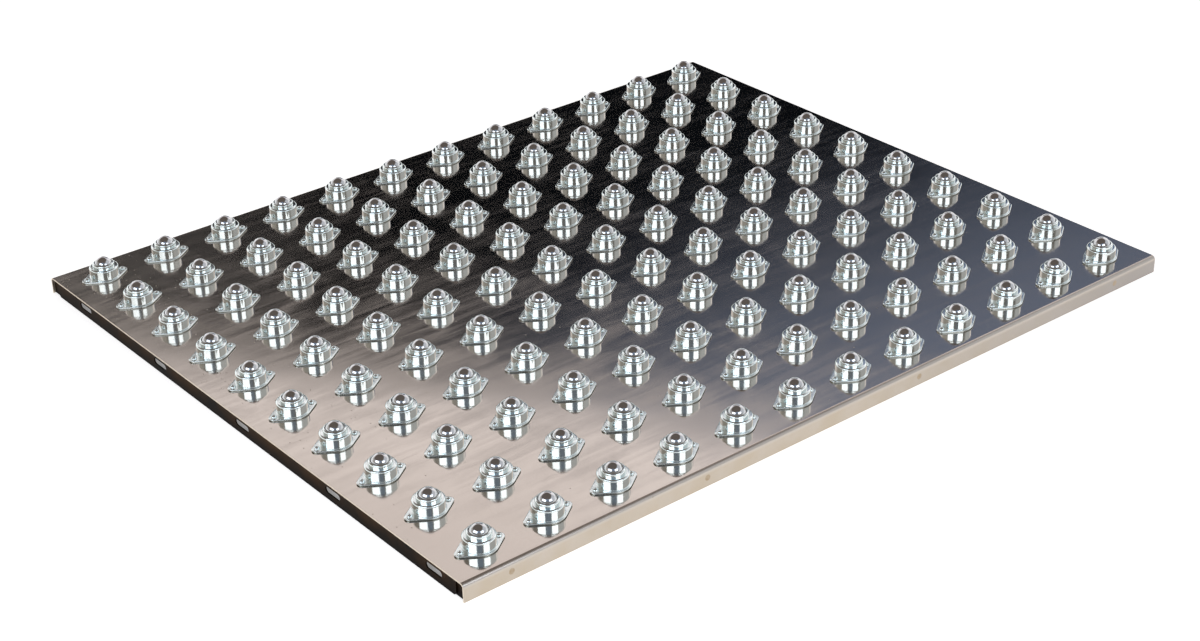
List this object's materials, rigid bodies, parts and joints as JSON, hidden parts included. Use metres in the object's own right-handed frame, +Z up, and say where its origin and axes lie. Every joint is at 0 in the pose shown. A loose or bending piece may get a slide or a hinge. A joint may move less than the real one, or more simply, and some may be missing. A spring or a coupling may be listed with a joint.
{
  "type": "ball transfer platform",
  "caption": "Low folded steel deck with a square grid of flanged ball transfer units whose balls roll under a load, and slotted end panels for bolting it into a line.",
  "frame": {"origin": "middle of the footprint, on the surface that the long flanges stand on", "axes": "+X along the long side, +Y along the short side, +Z up to the balls"},
  "size_m": [1.22, 1, 0.056],
  "materials": {
    "deck_sheet_steel": "satin cold-rolled stainless sheet with fine scratches and smudges",
    "plated_steel": "bright zinc plate with a faint blue tint",
    "bearing_steel": "polished bearing steel",
    "hardened_steel": "hardened pressed steel, dark and oiled",
    "rivet_steel": "plated blind rivet"
  },
  "bodies": {
    "deck": {"deck_sheet": "deck_sheet_steel", "base_plates": "plated_steel", "bearing_cups": "hardened_steel", "support_balls": "bearing_steel", "end_panel_left": "deck_sheet_steel", "cross_rib_left": "deck_sheet_steel", "end_panel_right": "deck_sheet_steel", "cross_rib_right": "deck_sheet_steel", "corner_gusset_front_left": "deck_sheet_steel", "corner_gusset_back_left": "deck_sheet_steel", "corner_gusset_front_right": "deck_sheet_steel", "corner_gusset_back_right": "deck_sheet_steel", "housings_row_01": "plated_steel", "retainers_row_01": "plated_steel", "rivets_row_01": "rivet_steel", "housings_row_02": "plated_steel", "retainers_row_02": "plated_steel", "rivets_row_02": "rivet_steel", "housings_row_03": "plated_steel", "retainers_row_03": "plated_steel", "rivets_row_03": "rivet_steel", "housings_row_04": "plated_steel", "retainers_row_04": "plated_steel", "rivets_row_04": "rivet_steel", "housings_row_05": "plated_steel", "retainers_row_05": "plated_steel", "rivets_row_05": "rivet_steel", "housings_row_06": "plated_steel", "retainers_row_06": "plated_steel", "rivets_row_06": "rivet_steel", "housings_row_07": "plated_steel", "retainers_row_07": "plated_steel", "rivets_row_07": "rivet_steel", "housings_row_08": "plated_steel", "retainers_row_08": "plated_steel", "rivets_row_08": "rivet_steel", "housings_row_09": "plated_steel", "retainers_row_09": "plated_steel", "rivets_row_09": "rivet_steel", "housings_row_10": "plated_steel", "retainers_row_10": "plated_steel", "rivets_row_10": "rivet_steel"},
    "ball_row_01": {"load_balls_row_01": "bearing_steel"},
    "ball_row_02": {"load_balls_row_02": "bearing_steel"},
    "ball_row_03": {"load_balls_row_03": "bearing_steel"},
    "ball_row_04": {"load_balls_row_04": "bearing_steel"},
    "ball_row_05": {"load_balls_row_05": "bearing_steel"},
    "ball_row_06": {"load_balls_row_06": "bearing_steel"},
    "ball_row_07": {"load_balls_row_07": "bearing_steel"},
    "ball_row_08": {"load_balls_row_08": "bearing_steel"},
    "ball_row_09": {"load_balls_row_09": "bearing_steel"},
    "ball_row_10": {"load_balls_row_10": "bearing_steel"}
  },
  "joints": [
    {"name": "ball_row_01_roll", "type": "hinge", "parent": "deck", "child": "ball_row_01", "pos_m": [0, -0.45, 0.04325], "axis": [1, 0, 0], "continuous": true},
    {"name": "ball_row_02_roll", "type": "hinge", "parent": "deck", "child": "ball_row_02", "pos_m": [0, -0.35, 0.04325], "axis": [1, 0, 0], "continuous": true},
    {"name": "ball_row_03_roll", "type": "hinge", "parent": "deck", "child": "ball_row_03", "pos_m": [0, -0.25, 0.04325], "axis": [1, 0, 0], "continuous": true},
    {"name": "ball_row_04_roll", "type": "hinge", "parent": "deck", "child": "ball_row_04", "pos_m": [0, -0.15, 0.04325], "axis": [1, 0, 0], "continuous": true},
    {"name": "ball_row_05_roll", "type": "hinge", "parent": "deck", "child": "ball_row_05", "pos_m": [0, -0.05, 0.04325], "axis": [1, 0, 0], "continuous": true},
    {"name": "ball_row_06_roll", "type": "hinge", "parent": "deck", "child": "ball_row_06", "pos_m": [0, 0.05, 0.04325], "axis": [1, 0, 0], "continuous": true},
    {"name": "ball_row_07_roll", "type": "hinge", "parent": "deck", "child": "ball_row_07", "pos_m": [0, 0.15, 0.04325], "axis": [1, 0, 0], "continuous": true},
    {"name": "ball_row_08_roll", "type": "hinge", "parent": "deck", "child": "ball_row_08", "pos_m": [0, 0.25, 0.04325], "axis": [1, 0, 0], "continuous": true},
    {"name": "ball_row_09_roll", "type": "hinge", "parent": "deck", "child": "ball_row_09", "pos_m": [0, 0.35, 0.04325], "axis": [1, 0, 0], "continuous": true},
    {"name": "ball_row_10_roll", "type": "hinge", "parent": "deck", "child": "ball_row_10", "pos_m": [0, 0.45, 0.04325], "axis": [1, 0, 0], "continuous": true}
  ]
}
